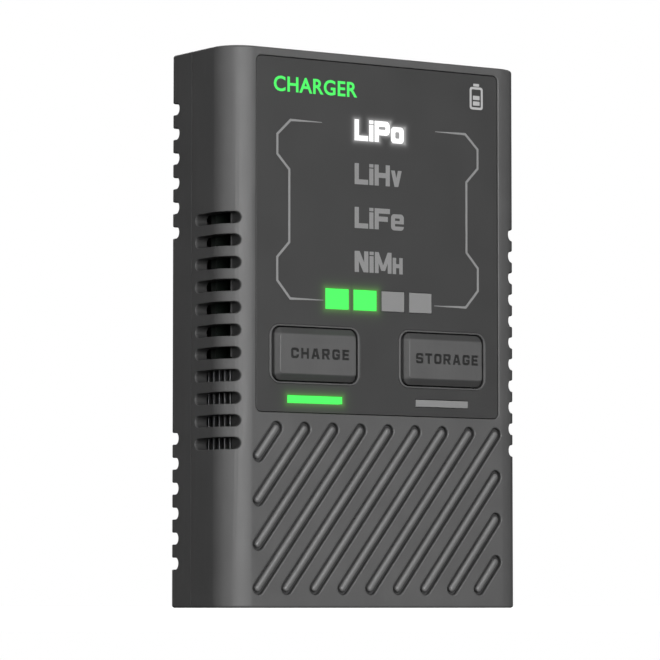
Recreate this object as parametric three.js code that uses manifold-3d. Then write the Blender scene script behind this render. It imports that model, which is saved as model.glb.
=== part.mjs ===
// A palm-sized balance charger for model battery packs, as an assembly of separate pieces.
// Millimetres, +Z up. The charger stands on its lower end: the front faces -Y and the origin
// is in the middle of its footprint, half way between the button faces and the rubber strips.
import * as THREE from "three";
import { mergeVertices } from "three/addons/utils/BufferGeometryUtils.js";
import Module from "manifold-3d";

const wasm = await Module();
wasm.setup();

// ---------------------------------------------------------------- driving dimensions
const body = {
  width: 63.4,
  depth: 19.2,
  height: 98,
  frontRadius: 5.3, // the two tall front corners
  backRadius: 1,
  leastRadius: 0.4, // of the corners inside it
  endChamfer: 0.4,
  sideWall: 2.4,
  frontWall: 2.4,
  backWall: 2,
  endWall: 2.2,
  split: 2.6, // where the front and rear shells meet, along Y
  reveal: 0.25, // the open line between them
};
const half = { x: body.width / 2, y: body.depth / 2 };
const front = -half.y;
const frontInside = front + body.frontWall;
const backInside = half.y - body.backWall;
const past = 1; // how far a cutting tool runs past what it cuts
const clearance = 0.1; // between pieces that are fitted into each other
const seat = 0.05; // between pieces that rest on each other
const weld = 1e-4; // corners nearer than this are one corner
// Every round stretch is drawn as quarter turns, each of twice this many straight pieces.
const fine = 2;
const coarse = 1;

const lip = { inset: 1.25, width: 1.1, height: 0.6 }; // the rear shell's tongue

const vents = { count: 11, pitch: 3.93, width: 2.06, lowest: 28.5, reach: 3, floor: 1.4 };
const rearVents = {
  count: 6,
  pitch: 4.4,
  width: 2.06,
  lowest: [7.8, 66.3],
  depth: 2.65,
  innerEnd: 22.5, // from the centre line
};
const ribs = {
  count: 12,
  pitch: 5.88,
  slope: 1.304, // rise over run
  firstTop: -21.7, // where the first one meets the top of the field
  left: -25.4,
  right: 25.35,
  low: 3.45,
  high: 31.25,
  grooveWidth: 2.36,
  grooveDepth: 0.9,
  ridgeWidth: 1.2,
  crownWidth: 0.5,
  ridgeHeight: 0.9,
};
const panel = {
  width: 51.8,
  low: 34.1,
  high: 96.4,
  radius: 1,
  recess: 0.15, // its face below the shell's face
  thickness: 1.48,
};
const panelFace = front + panel.recess;
const panelBack = panelFace + panel.thickness;

const button = {
  x: 13.67,
  z: 44.27,
  width: 17,
  height: 9.3,
  radius: 1.3,
  faceWidth: 15.8,
  faceHeight: 6.9,
  faceRadius: 0.5,
  proud: 1, // its face above the shell's face
  travel: 0.4,
  flange: { width: 19.6, height: 11.4, thickness: 0.8 },
  postRadius: 1.6,
};
const buttonHole = { width: 18.1, height: 9.75, radius: 1.65 };
const collar = { width: 19, height: 10.35, radius: 2.1, proud: 0.1 };

const levels = { x: [-8.93, -2.98, 2.98, 8.93], z: 54.36, width: 4.85, height: 3.57 };
const status = { x: 13.6, z: 36.43, width: 11.4, height: 1.26, standsIn: 1 };
const modes = { count: 4, top: 84, pitch: 7.8 }; // the lamps behind the battery type names
const diffuser = { width: 25.2, low: 52, high: 88.6, thickness: 1.5 };

const board = { width: 58, low: 3, high: 94.8, front: -1.2, thickness: 1.6, radius: 2 };
const boardBack = board.front + board.thickness;
const led = { width: 2, height: 1.25, thickness: 0.8 };
const keySwitch = {
  size: 6,
  thickness: 3.4,
  plungerRadius: 1.7,
  boreRadius: 1.85,
  boreDepth: 1.5,
  plungerLength: 1.4,
};

const screws = {
  places: [
    [-17.5, 17],
    [17.5, 17],
    [-17.5, 81],
    [17.5, 81],
  ],
  shaftRadius: 0.95,
  headRadius: 1.9,
  headHeight: 1.25,
  sink: 1.5,
  pilotRadius: 1.05,
  clearanceRadius: 1.15,
  sinkRadius: 2.15,
  bossRadius: 2.5,
  pilotEnd: -6.6,
  tip: -6,
  chamfer: 0.3,
  cross: { length: 2.1, width: 0.56, depth: 0.7 },
};

// The row of output sockets in the upper end, from left to right.
const socketRow = { mouth: body.height - 0.4, gap: 1.5, base: boardBack + seat };
const balanceSocket = {
  pinCounts: [3, 4, 5],
  pinPitch: 2.5,
  endMargin: 2.4,
  thickness: 5.75,
  length: 11.3,
  wall: 0.8,
  cavity: 8,
  pinHeight: 2.9, // pins above the socket's base
  pinWidth: 0.64,
  pinShy: 2, // pin tips below the mouth
  keyWidth: 1.3,
  keyDepth: 4.5,
  keyInset: 2.2, // from each end
};
const powerSocket = {
  width: 10.2,
  thickness: 5.2,
  length: 11,
  wall: 0.9,
  cavity: 8,
  chamfer: 1.4,
  contactRadius: 1,
  contactOffset: 2.5,
  contactShy: 2.2,
};
const usb = {
  width: 8.94,
  height: 3.26,
  wall: 0.3,
  length: 7.3,
  mouth: 0.5,
  tongueWidth: 6.7,
  tongueHeight: 0.7,
  tongueLength: 4.2,
  blockLength: 1.6,
};
// The heat sink stands in a cut-out at the board's left edge, its fins behind the lowest vents.
const heatSink = {
  outer: -28.8,
  inner: -24.6,
  base: 0.9,
  front: -5.6,
  back: 2,
  fins: 5,
  finThickness: 0.5,
  low: 25.5,
  high: 42.5,
};
const capacitors = {
  x: 26.3,
  radius: 2.5,
  length: 11,
  rim: 0.25,
  groove: 9.5,
  low: [24, 37],
  sides: 16,
};
const inductor = { x: -9, z: 62, size: 12.5, thickness: 6, chamfer: 1.5 };
const chips = {
  controller: { x: 5, z: 62, width: 7, height: 7, thickness: 0.9 },
  power_switch: { x: -9, z: 47, width: 5, height: 6, thickness: 1.1 },
};
const strips = { width: 30, height: 4.6, radius: 1.2, proud: 1, sunk: 0.6, chamfer: 0.25, z: [7.2, 90.8] };
const label = { width: 34, height: 44, z: 49, depth: 0.3, radius: 2 };

// ---------------------------------------------------------------- finishes
function finish(color, roughness, metalness = 0, more = {}) {
  return new THREE.MeshStandardMaterial({ color, roughness, metalness, ...more });
}
const casingGrey = finish(0x5f5f60, 0.55);
const panelGrey = finish(0x484849, 0.6);
const capGrey = finish(0x5f5f60, 0.5);
const litGreen = finish(0x4dff62, 0.4, 0, { emissive: 0x4dff62 });
const unlitGrey = finish(0x8f8f8f, 0.5);
const milkWhite = finish(0xe8e8e4, 0.6);
const boardGreen = finish(0x1d4a2c, 0.45);
const chipBlack = finish(0x1b1b1c, 0.5);
const socketWhite = finish(0xe9e6da, 0.5);
const socketYellow = finish(0xe2b21c, 0.5);
const steel = finish(0xb9bbbd, 0.3, 1);
const gold = finish(0xd9b25a, 0.3, 1);
const aluminium = finish(0xa9abad, 0.4, 1);
const ferrite = finish(0x3a3a3c, 0.7);
const sleeveBlack = finish(0x22242b, 0.4);
const ledWhite = finish(0xf2f1e8, 0.4);
const rubber = finish(0x1f1f20, 0.9);

// ---------------------------------------------------------------- solids
function solid(geometry) {
  const bare = geometry.index ? geometry.toNonIndexed() : geometry.clone();
  bare.deleteAttribute("normal");
  bare.deleteAttribute("uv");
  const merged = mergeVertices(bare, weld);
  return new wasm.Manifold(
    new wasm.Mesh({
      numProp: 3,
      vertProperties: new Float32Array(merged.attributes.position.array),
      triVerts: new Uint32Array(merged.index.array),
    }),
  );
}

const together = (parts) => parts.reduce((sum, part) => sum.add(part));

function piece(name, shape, material) {
  const made = shape.getMesh();
  const position = new Float32Array(made.numVert * 3);
  for (let i = 0; i < made.numVert; i++) {
    const from = i * made.numProp;
    position.set(made.vertProperties.subarray(from, from + 3), i * 3);
  }
  const geometry = new THREE.BufferGeometry();
  geometry.setAttribute("position", new THREE.BufferAttribute(position, 3));
  geometry.setIndex(new THREE.BufferAttribute(new Uint32Array(made.triVerts), 1));
  const faceted = geometry.toNonIndexed();
  faceted.computeVertexNormals();
  const mesh = new THREE.Mesh(faceted, material);
  mesh.name = name;
  return mesh;
}

// How a flat drawing's own x, y and thickness lie in space when it is extruded along an axis.
const alongX = new THREE.Vector3(1, 0, 0);
const alongY = new THREE.Vector3(0, 1, 0);
const alongZ = new THREE.Vector3(0, 0, 1);
const drawn = {
  x: new THREE.Matrix4().makeBasis(alongY, alongZ, alongX), // drawn in Y and Z
  y: new THREE.Matrix4().makeBasis(alongX, alongZ, alongY.clone().negate()), // drawn in X and Z
  z: new THREE.Matrix4(), // drawn in X and Y
};

// A straight prism of a drawing between two levels of an axis, its two ends chamfered if asked.
function prism(shape, axis, low, high, chamfer = 0, steps = coarse) {
  const geometry = new THREE.ExtrudeGeometry(shape, {
    depth: high - low - 2 * chamfer,
    bevelEnabled: chamfer > 0,
    bevelThickness: chamfer,
    bevelSize: chamfer,
    bevelOffset: -chamfer,
    bevelSegments: 1,
    curveSegments: steps,
  });
  geometry.translate(0, 0, chamfer);
  geometry.applyMatrix4(drawn[axis]);
  const start = axis === "y" ? high : low; // along Y the thickness runs towards the front
  geometry.translate(
    axis === "x" ? start : 0,
    axis === "y" ? start : 0,
    axis === "z" ? start : 0,
  );
  return solid(geometry);
}

// One quarter turn of an outline, anticlockwise from an angle counted in quarter turns.
function quarterTurn(shape, cx, cy, radius, from) {
  shape.absarc(cx, cy, radius, (from * Math.PI) / 2, ((from + 1) * Math.PI) / 2);
}

function roundedBox(cx, cy, width, height, radius) {
  const shape = new THREE.Shape();
  const [left, right] = [cx - width / 2, cx + width / 2];
  const [low, high] = [cy - height / 2, cy + height / 2];
  if (!radius) {
    shape.moveTo(left, low).lineTo(right, low).lineTo(right, high).lineTo(left, high);
    return shape;
  }
  quarterTurn(shape, right - radius, low + radius, radius, -1);
  quarterTurn(shape, right - radius, high - radius, radius, 0);
  quarterTurn(shape, left + radius, high - radius, radius, 1);
  quarterTurn(shape, left + radius, low + radius, radius, 2);
  return shape;
}

const box = (x0, x1, y0, y1, z0, z1) =>
  prism(roundedBox((x0 + x1) / 2, (y0 + y1) / 2, x1 - x0, y1 - y0, 0), "z", z0, z1);

// Everything between two levels of Y.
const slab = (ahead, behind) =>
  box(-half.x - past, half.x + past, ahead, behind, -past, body.height + past);

function disc(cx, cy, radius) {
  const shape = new THREE.Shape();
  for (const from of [0, 1, 2, 3]) quarterTurn(shape, cx, cy, radius, from);
  return shape;
}

// A slot with round ends between two points.
function slot(ax, ay, bx, by, width) {
  const along = Math.atan2(by - ay, bx - ax) / (Math.PI / 2);
  const radius = width / 2;
  const shape = new THREE.Shape();
  quarterTurn(shape, bx, by, radius, along - 1);
  quarterTurn(shape, bx, by, radius, along);
  quarterTurn(shape, ax, ay, radius, along + 1);
  quarterTurn(shape, ax, ay, radius, along + 2);
  return shape;
}

// A solid that changes from one outline to another along -Y; both have the same number of points.
function taper(fromShape, fromY, toShape, toY) {
  const first = fromShape.extractPoints(coarse).shape;
  const last = toShape.extractPoints(coarse).shape;
  for (const ring of [first, last])
    if (ring[0].distanceTo(ring[ring.length - 1]) < weld) ring.pop();
  const n = first.length;
  const position = [...first, ...last].flatMap((p, i) => [p.x, i < n ? fromY : toY, p.y]);
  const index = [];
  for (let i = 0; i < n; i++) {
    const next = (i + 1) % n;
    index.push(i, next, n + next, i, n + next, n + i);
  }
  for (const [a, b, c] of THREE.ShapeUtils.triangulateShape(first, []))
    index.push(c, b, a, n + a, n + b, n + c);
  const geometry = new THREE.BufferGeometry();
  geometry.setAttribute("position", new THREE.Float32BufferAttribute(position, 3));
  geometry.setIndex(index);
  return solid(geometry);
}

const mirrored = (shape) => shape.mirror([1, 0, 0]);

// ---------------------------------------------------------------- the casing
// The casing's outline seen from above, drawn in by an inset.
function casingOutline(inset, frontInset = inset, backInset = inset) {
  const side = half.x - inset;
  const ahead = front + frontInset;
  const behind = half.y - backInset;
  const big = body.frontRadius - inset;
  const small = Math.max(body.backRadius - inset, body.leastRadius);
  const shape = new THREE.Shape();
  quarterTurn(shape, side - big, ahead + big, big, -1);
  quarterTurn(shape, side - small, behind - small, small, 0);
  quarterTurn(shape, -side + small, behind - small, small, 1);
  quarterTurn(shape, -side + big, ahead + big, big, 2);
  return shape;
}

function casingBlock() {
  return prism(casingOutline(0), "z", 0, body.height, body.endChamfer, fine);
}

function casingCavity() {
  const outline = casingOutline(body.sideWall, body.frontWall, body.backWall);
  return prism(outline, "z", body.endWall, body.height - body.endWall, 0, fine);
}

// One side vent is cut straight back through the tall front corner and the side wall. Its end
// is round both in the front view and in the side view.
function sideVent(height) {
  const [outside, inner] = [-half.x - past, -half.x + vents.reach];
  const radius = vents.width / 2;
  const fromFront = slot(outside, height, inner - radius, height, vents.width);
  const fromSide = slot(front - past, height, vents.floor - radius, height, vents.width);
  return prism(fromFront, "y", front - past, vents.floor - radius).add(
    prism(fromSide, "x", outside, inner - radius),
  );
}

// One rear vent runs from the side edge along the back.
function rearVent(height) {
  const [outside, inner] = [-half.x - past, -rearVents.innerEnd];
  const floor = half.y - rearVents.depth;
  const radius = rearVents.width / 2;
  const fromBack = slot(outside, height, inner - radius, height, rearVents.width);
  const fromSide = slot(half.y + past, height, floor + radius, height, rearVents.width);
  return prism(fromBack, "y", floor + radius, half.y + past).add(
    prism(fromSide, "x", outside, inner - radius),
  );
}

function sideVents() {
  const left = [];
  for (let i = 0; i < vents.count; i++) left.push(sideVent(vents.lowest + i * vents.pitch));
  const cut = together(left);
  return cut.add(mirrored(cut));
}

function allRearVents() {
  const left = [];
  for (const lowest of rearVents.lowest)
    for (let i = 0; i < rearVents.count; i++) left.push(rearVent(lowest + i * rearVents.pitch));
  const cut = together(left);
  return cut.add(mirrored(cut));
}

// The centre lines of the slanting ribs, cut off at the edges of their field.
function ribLines() {
  const lines = [];
  const run = (ribs.high - ribs.low) / ribs.slope;
  for (let i = 0; i < ribs.count; i++) {
    const top = ribs.firstTop + i * ribs.pitch;
    const heightAt = (across) => ribs.high - (top - across) * ribs.slope;
    const [ax, bx] = [Math.max(top - run, ribs.left), Math.min(top, ribs.right)];
    lines.push([ax, heightAt(ax), bx, heightAt(bx)]);
  }
  return lines;
}

function ribField(shell) {
  const floor = front + ribs.grooveDepth;
  const crest = floor - ribs.ridgeHeight;
  const shoulder = (floor + crest) / 2;
  let made = shell;
  for (const line of ribLines()) {
    const ridge = slot(...line, ribs.ridgeWidth);
    made = made
      .subtract(prism(slot(...line, ribs.grooveWidth), "y", front - past, floor))
      .add(prism(ridge, "y", shoulder, floor + seat))
      .add(taper(ridge, shoulder, slot(...line, ribs.crownWidth), crest));
  }
  return made;
}

const boss = (place, from, to) => prism(disc(...place, screws.bossRadius), "y", from, to);

function panelPocket() {
  const gap = clearance;
  const middle = (panel.low + panel.high) / 2;
  const height = panel.high - panel.low;
  const outline = roundedBox(0, middle, panel.width + 2 * gap, height + 2 * gap, panel.radius);
  return prism(outline, "y", front - past, panelBack + seat);
}

function buttonOutline(side, width, height, radius) {
  return roundedBox(side * button.x, button.z, width, height, radius);
}

function statusOutline(side, gap) {
  return roundedBox(side * status.x, status.z, status.width + gap, status.height + gap, 0);
}

function diffuserOutline(gap) {
  const middle = (diffuser.low + diffuser.high) / 2;
  const height = diffuser.high - diffuser.low;
  return roundedBox(0, middle, diffuser.width + gap, height + gap, 0);
}

const lipOutline = (inset) => casingOutline(inset, body.frontWall, body.backWall);

function frontShell() {
  const behind = body.split - body.reveal / 2;
  let shell = casingBlock().subtract(casingCavity()).subtract(slab(behind, half.y + past));
  // The rabbet that takes the rear shell's tongue.
  const edge = lip.inset - clearance;
  const rabbet = prism(lipOutline(edge), "z", edge, body.height - edge, 0, fine).intersect(
    slab(behind - lip.height + clearance, half.y),
  );
  shell = shell.subtract(rabbet).subtract(panelPocket());
  for (const side of [-1, 1]) {
    const ring = buttonOutline(side, collar.width, collar.height, collar.radius);
    const hole = buttonOutline(side, buttonHole.width, buttonHole.height, buttonHole.radius);
    shell = shell
      .add(prism(ring, "y", panelFace - collar.proud, panelBack + 2 * seat))
      .subtract(prism(hole, "y", front - past, frontInside + past))
      .subtract(prism(statusOutline(side, 2 * clearance), "y", front, frontInside + past));
  }
  shell = shell.subtract(prism(diffuserOutline(2 * clearance), "y", front, frontInside + past));
  for (const place of screws.places)
    shell = shell
      .add(boss(place, frontInside - seat, board.front - seat))
      .subtract(prism(disc(...place, screws.pilotRadius), "y", screws.pilotEnd, board.front + past));
  shell = ribField(shell).subtract(sideVents());
  return shell.subtract(endOpenings());
}

function rearShell() {
  const ahead = body.split + body.reveal / 2;
  let shell = casingBlock().subtract(casingCavity()).subtract(slab(front - past, ahead));
  // The tongue runs all round, inside the front shell's wall.
  const edge = lip.inset;
  const inside = lip.inset + lip.width;
  const tongue = prism(lipOutline(edge), "z", edge, body.height - edge, 0, fine)
    .subtract(prism(lipOutline(inside), "z", inside, body.height - inside, 0, fine))
    .intersect(slab(ahead - lip.height, ahead + seat));
  shell = shell.add(tongue);
  const outside = half.y + past;
  for (const place of screws.places)
    shell = shell
      .add(boss(place, boardBack + seat, backInside + seat))
      .subtract(prism(disc(...place, screws.clearanceRadius), "y", boardBack - past, outside))
      .subtract(prism(disc(...place, screws.sinkRadius), "y", half.y - screws.sink, outside));
  const labelOutline = roundedBox(0, label.z, label.width, label.height, label.radius);
  shell = shell.subtract(prism(labelOutline, "y", half.y - label.depth, outside));
  for (const atZ of strips.z) {
    const recess = stripOutline(atZ, 2 * clearance);
    shell = shell.subtract(prism(recess, "y", half.y - strips.sunk, outside));
  }
  return shell.subtract(allRearVents()).subtract(endOpenings());
}

// ---------------------------------------------------------------- the front
function controlPanel() {
  const middle = (panel.low + panel.high) / 2;
  const outline = roundedBox(0, middle, panel.width, panel.high - panel.low, panel.radius);
  let plate = prism(outline, "y", panelFace, panelBack);
  const through = [panelFace - past, panelBack + past];
  for (const side of [-1, 1]) {
    const gap = 2 * clearance;
    const [width, height] = [collar.width + gap, collar.height + gap];
    const ring = buttonOutline(side, width, height, collar.radius + clearance);
    plate = plate
      .subtract(prism(ring, "y", ...through))
      .subtract(prism(statusOutline(side, gap), "y", ...through));
  }
  for (const atX of levels.x)
    plate = plate.subtract(prism(levelOutline(atX, 2 * seat), "y", ...through));
  return plate;
}

function levelOutline(atX, gap) {
  return roundedBox(atX, levels.z, levels.width + gap, levels.height + gap, 0);
}

// A button is a chamfered cap on a flange that holds it in, with a post that meets the switch.
function buttonCap(side) {
  const base = buttonOutline(side, button.width, button.height, button.radius);
  const face = buttonOutline(side, button.faceWidth, button.faceHeight, button.faceRadius);
  const { width, height, thickness } = button.flange;
  const flange = buttonOutline(side, width, height, button.radius);
  const flangeFront = frontInside + seat;
  const flangeBack = flangeFront + thickness;
  const post = disc(side * button.x, button.z, button.postRadius);
  return prism(base, "y", front, flangeBack)
    .add(taper(base, front, face, front - button.proud))
    .add(prism(flange, "y", flangeFront, flangeBack))
    .add(prism(post, "y", flangeBack - seat, plungerTop - seat));
}

// ---------------------------------------------------------------- the board and what it carries
const switchTop = board.front - seat - keySwitch.thickness;
const plungerTop = switchTop - keySwitch.plungerLength / 2;

function mainBoard() {
  const middle = (board.low + board.high) / 2;
  const outline = roundedBox(0, middle, board.width, board.high - board.low, board.radius);
  const through = [board.front - past, boardBack + past];
  const { inner, low, high } = heatSink;
  let plate = prism(outline, "y", board.front, boardBack).subtract(
    box(-half.x, inner + clearance, ...through, low - clearance, high + clearance),
  );
  for (const place of screws.places)
    plate = plate.subtract(prism(disc(...place, screws.clearanceRadius + clearance), "y", ...through));
  for (const lead of socketLeads()) {
    const width = lead.width + 2 * clearance;
    plate = plate.subtract(prism(roundedBox(lead.x, leadZ, width, width, 0), "y", ...through));
  }
  return plate;
}

function switchBody(side) {
  const reach = keySwitch.size / 2;
  const place = [side * button.x, button.z];
  const boreEnd = switchTop + keySwitch.boreDepth;
  const bore = prism(disc(...place, keySwitch.boreRadius), "y", switchTop - past, boreEnd);
  return prism(roundedBox(...place, 2 * reach, 2 * reach, 0), "y", switchTop, board.front - seat).subtract(
    bore,
  );
}

function switchPlunger(side) {
  const outline = disc(side * button.x, button.z, keySwitch.plungerRadius);
  return prism(outline, "y", plungerTop, plungerTop + keySwitch.plungerLength);
}

function indicator(atX, atZ) {
  const outline = roundedBox(atX, atZ, led.width, led.height, 0);
  return prism(outline, "y", board.front - seat - led.thickness, board.front - seat);
}

function comb() {
  const { outer, inner, base, fins, finThickness, low, high } = heatSink;
  const step = (heatSink.back - heatSink.front - finThickness) / (fins - 1);
  const shape = new THREE.Shape();
  shape.moveTo(inner, heatSink.front).lineTo(inner, heatSink.back);
  for (let i = fins - 1; i >= 0; i--) {
    const fin = heatSink.front + i * step;
    shape.lineTo(outer, fin + finThickness).lineTo(outer, fin);
    if (i > 0) shape.lineTo(inner - base, fin).lineTo(inner - base, fin - step + finThickness);
  }
  return prism(shape, "z", low, high);
}

// A can that lies along Z: a rounded body with a groove near its upper end.
function capacitor(low) {
  const { radius, length, rim, groove, x: atX } = capacitors;
  const neck = radius - rim;
  const profile = [
    [0, 0],
    [neck, 0],
    [radius, rim],
    [radius, groove - 2 * rim],
    [neck, groove],
    [radius, groove + 2 * rim],
    [radius, length - rim],
    [neck, length],
    [0, length],
  ].map(([r, h]) => new THREE.Vector2(r, h));
  const geometry = new THREE.LatheGeometry(profile, capacitors.sides);
  geometry.rotateX(Math.PI / 2);
  geometry.translate(atX, board.front - seat - radius, low);
  return solid(geometry);
}

function coilBlock() {
  const reach = inductor.size / 2;
  const cut = reach - inductor.chamfer;
  const { x: atX, z: atZ } = inductor;
  const corners = [
    [-cut, -reach],
    [cut, -reach],
    [reach, -cut],
    [reach, cut],
    [cut, reach],
    [-cut, reach],
    [-reach, cut],
    [-reach, -cut],
  ].map(([dx, dz]) => new THREE.Vector2(atX + dx, atZ + dz));
  const behind = boardBack + seat + inductor.thickness;
  return prism(new THREE.Shape(corners), "y", boardBack + seat, behind);
}

function chip({ x: atX, z: atZ, width, height, thickness }) {
  const outline = roundedBox(atX, atZ, width, height, 0);
  return prism(outline, "y", boardBack + seat, boardBack + seat + thickness);
}

// ---------------------------------------------------------------- the sockets
const balanceWidth = (pins) => (pins - 1) * balanceSocket.pinPitch + 2 * balanceSocket.endMargin;

// Where each socket of the row stands.
function socketPlaces() {
  const row = [{ name: "power", width: powerSocket.width }];
  for (const pins of balanceSocket.pinCounts)
    row.push({ name: `balance_${pins - 1}s`, pins, width: balanceWidth(pins) });
  const whole = row.reduce((sum, one) => sum + one.width, 0) + (row.length - 1) * socketRow.gap;
  let left = -whole / 2;
  for (const one of row) {
    one.x = left + one.width / 2;
    left += one.width + socketRow.gap;
  }
  return row;
}
const sockets = socketPlaces();
const powerPlace = sockets[0];
const balancePlaces = sockets.slice(1);

function pinsOf(place) {
  const first = place.x - ((place.pins - 1) / 2) * balanceSocket.pinPitch;
  return Array.from({ length: place.pins }, (_, i) => first + i * balanceSocket.pinPitch);
}

const pinLevel = socketRow.base + balanceSocket.pinHeight;
const contactLevel = socketRow.base + powerSocket.thickness / 2;
// The leads turn towards the board just below the housings, and stand out in front of it.
const leads = { below: 1.1, tail: 0.8, contactWidth: 1.2, chamfer: 0.15 };
const leadZ = socketRow.mouth - balanceSocket.length - leads.below;
const leadEnd = board.front - leads.tail;
const contactsX = [-1, 1].map((side) => powerPlace.x + side * powerSocket.contactOffset);

function socketLeads() {
  const contacts = contactsX.map((atX) => ({ x: atX, width: leads.contactWidth }));
  const pins = balancePlaces.flatMap(pinsOf).map((atX) => ({ x: atX, width: balanceSocket.pinWidth }));
  return [...pins, ...contacts];
}

// A shrouded header: a box open at its mouth, with two key slots in its rear wall.
function balanceHousing(place) {
  const { thickness, length, wall, cavity, keyWidth, keyDepth, keyInset, pinWidth } = balanceSocket;
  const [left, right] = [place.x - place.width / 2, place.x + place.width / 2];
  const [low, high] = [socketRow.mouth - length, socketRow.mouth];
  const [ahead, behind] = [socketRow.base, socketRow.base + thickness];
  let housing = box(left, right, ahead, behind, low, high);
  housing = housing.subtract(
    box(left + wall, right - wall, ahead + wall, behind - wall, high - cavity, high + past),
  );
  for (const side of [-1, 1]) {
    const atX = place.x + side * (place.width / 2 - keyInset);
    const sides = [atX - keyWidth / 2, atX + keyWidth / 2];
    housing = housing.subtract(
      box(...sides, behind - 2 * wall, behind + past, high - keyDepth, high + past),
    );
  }
  const hole = pinWidth + clearance;
  for (const atX of pinsOf(place)) {
    const outline = roundedBox(atX, pinLevel, hole, hole, 0);
    housing = housing.subtract(prism(outline, "z", low - past, high - cavity + past));
  }
  return housing;
}

function balancePin(atX) {
  const width = balanceSocket.pinWidth;
  const tip = socketRow.mouth - balanceSocket.pinShy;
  const outline = roundedBox(atX, pinLevel, width, width, 0);
  return prism(outline, "z", leadZ - width / 2, tip, leads.chamfer).add(boardLead(atX, width, pinLevel));
}

// The stretch of a pin that turns towards the board and passes through it.
function boardLead(atX, width, level) {
  return prism(roundedBox(atX, leadZ, width, width, 0), "y", leadEnd, level + width / 2);
}

// The power socket's outline has one side with cut corners, so that a plug goes in one way only.
function powerOutline(inset) {
  const cut = powerSocket.chamfer;
  const left = powerPlace.x - powerSocket.width / 2 + inset;
  const right = powerPlace.x + powerSocket.width / 2 - inset;
  const low = socketRow.base + inset;
  const high = socketRow.base + powerSocket.thickness - inset;
  const corners = [
    [left, low],
    [right - cut, low],
    [right, low + cut],
    [right, high - cut],
    [right - cut, high],
    [left, high],
  ].map(([px, py]) => new THREE.Vector2(px, py));
  return new THREE.Shape(corners);
}

function powerHousing() {
  const [low, high] = [socketRow.mouth - powerSocket.length, socketRow.mouth];
  const cavityEnd = high - powerSocket.cavity;
  let housing = prism(powerOutline(0), "z", low, high);
  housing = housing.subtract(prism(powerOutline(powerSocket.wall), "z", cavityEnd, high + past));
  for (const atX of contactsX) {
    const bore = disc(atX, contactLevel, powerSocket.contactRadius + clearance / 2);
    housing = housing.subtract(prism(bore, "z", low - past, cavityEnd + past));
  }
  return housing;
}

function powerContact(atX) {
  const tip = socketRow.mouth - powerSocket.contactShy;
  const root = socketRow.mouth - powerSocket.length - clearance;
  const width = leads.contactWidth;
  const tail = roundedBox(atX, contactLevel, width, width, 0);
  return prism(disc(atX, contactLevel, powerSocket.contactRadius), "z", root, tip, leads.chamfer)
    .add(prism(tail, "z", leadZ - width / 2, root + past))
    .add(boardLead(atX, width, contactLevel));
}

const usbLevel = boardBack + seat + usb.height / 2;

function usbOutline(grow) {
  const width = usb.width + 2 * grow;
  const height = usb.height + 2 * grow;
  return slot(-(width - height) / 2, usbLevel, (width - height) / 2, usbLevel, height);
}

function usbShell() {
  const end = usb.mouth + usb.length;
  return prism(usbOutline(0), "z", usb.mouth, end).subtract(
    prism(usbOutline(-usb.wall), "z", usb.mouth - past, end - usb.wall),
  );
}

function usbTongue() {
  const end = usb.mouth + usb.length - usb.wall - seat;
  const blade = roundedBox(0, usbLevel, usb.tongueWidth, usb.tongueHeight, 0);
  const start = end - usb.blockLength;
  return prism(usbOutline(-usb.wall - seat), "z", start, end).add(
    prism(blade, "z", start - usb.tongueLength, start + seat),
  );
}

// The openings of both ends, shared by the two shells.
function endOpenings() {
  const above = [body.height - body.endWall - past, body.height + past];
  const middle = socketRow.base + balanceSocket.thickness / 2;
  const cuts = balancePlaces.map((place) => {
    const [width, height] = [place.width + 2 * clearance, balanceSocket.thickness + 2 * clearance];
    return prism(roundedBox(place.x, middle, width, height, 0), "z", ...above);
  });
  cuts.push(prism(powerOutline(-clearance), "z", ...above));
  cuts.push(prism(usbOutline(2 * clearance), "z", -past, body.endWall + past));
  return together(cuts);
}

// ---------------------------------------------------------------- fasteners and feet
function screw(atX, atZ) {
  const headFront = half.y - screws.sink + seat;
  const headBack = headFront + screws.headHeight;
  const head = prism(disc(atX, atZ, screws.headRadius), "y", headFront, headBack, screws.chamfer);
  const shaft = disc(atX, atZ, screws.shaftRadius);
  const { cross } = screws;
  const blade = (width, height) =>
    prism(roundedBox(atX, atZ, width, height, 0), "y", headBack - cross.depth, headBack + past);
  return head
    .add(prism(shaft, "y", screws.tip, headFront + screws.chamfer + seat, screws.chamfer))
    .subtract(blade(cross.length, cross.width))
    .subtract(blade(cross.width, cross.length));
}

function stripOutline(atZ, gap) {
  return roundedBox(0, atZ, strips.width + gap, strips.height + gap, strips.radius);
}

function rubberStrip(atZ) {
  const outline = stripOutline(atZ, 0);
  return prism(outline, "y", half.y - strips.sunk + seat, half.y + strips.proud, strips.chamfer);
}

// ---------------------------------------------------------------- the assembly
const charger = new THREE.Group();
const add = (name, shape, material) => charger.add(piece(name, shape, material));

add("front_shell", frontShell(), casingGrey);
add("rear_shell", rearShell(), casingGrey);
add("control_panel", controlPanel(), panelGrey);

const sides = { charge: -1, storage: 1 };
for (const [name, side] of Object.entries(sides)) {
  add(`${name}_button`, buttonCap(side), capGrey);
  add(`${name}_switch_body`, switchBody(side), chipBlack);
  add(`${name}_switch_plunger`, switchPlunger(side), ledWhite);
  const pipe = prism(statusOutline(side, 0), "y", panelFace, frontInside + status.standsIn);
  add(`${name}_status_window`, pipe, side < 0 ? litGreen : unlitGrey);
  add(`${name}_status_led`, indicator(side * status.x, status.z), ledWhite);
}

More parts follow.
